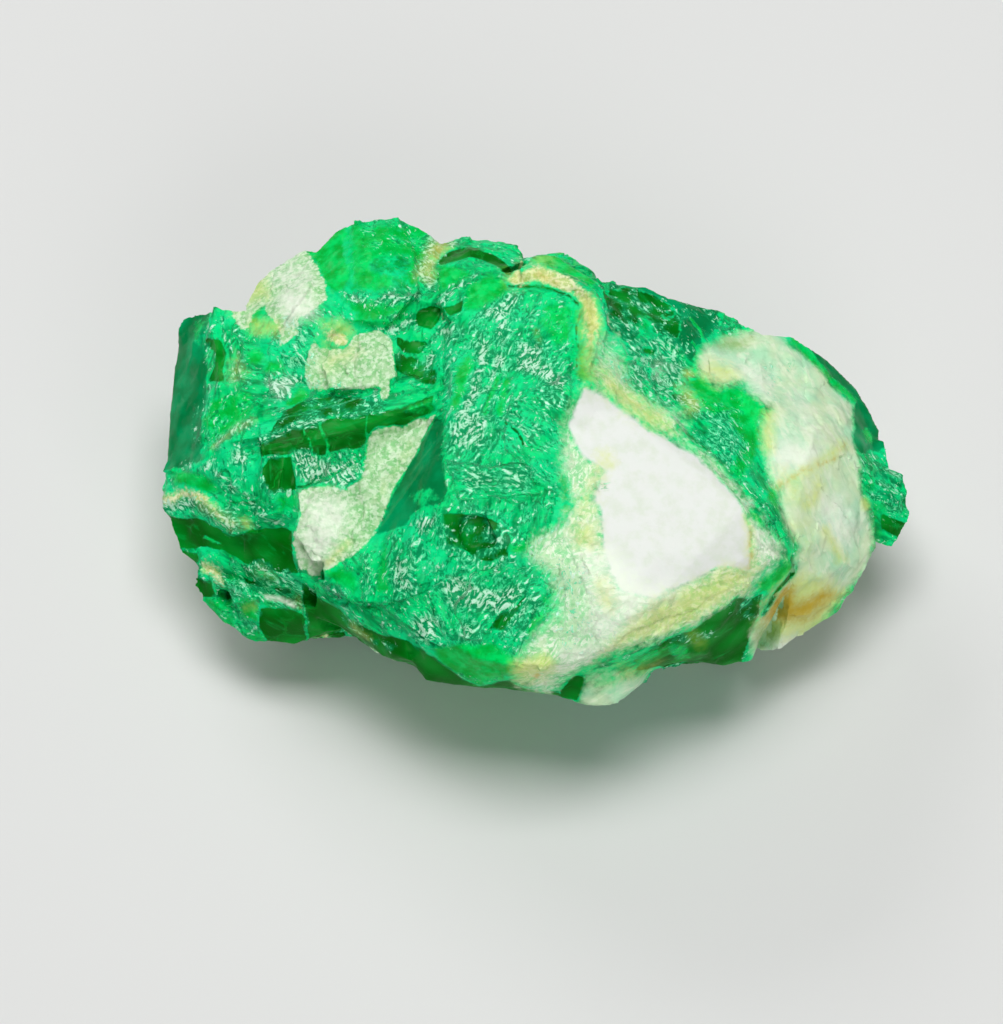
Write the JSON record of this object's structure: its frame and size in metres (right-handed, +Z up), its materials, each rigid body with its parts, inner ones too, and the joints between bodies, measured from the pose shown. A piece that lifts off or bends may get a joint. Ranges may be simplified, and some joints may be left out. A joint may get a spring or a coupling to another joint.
{
  "type": "rough emerald",
  "caption": "Thumb-sized uncut gem crystal cluster with broken faces, a flat pale quartz plate and a flat underside to rest on.",
  "frame": {"origin": "centre of the stone's bounding box, at the level of the flat face it rests on", "axes": "+Z up from the face it rests on, +X along the stone's longest side towards its pointed end, -Y towards the side that shows the white plate"},
  "size_m": [0.0378, 0.0264, 0.0161],
  "materials": {
    "emerald": "uncut crystal, glossy cleavage faces and rough broken faces, green with pale quartz and cream veins"
  },
  "bodies": {
    "root": {"rough_emerald": "emerald"}
  },
  "joints": []
}
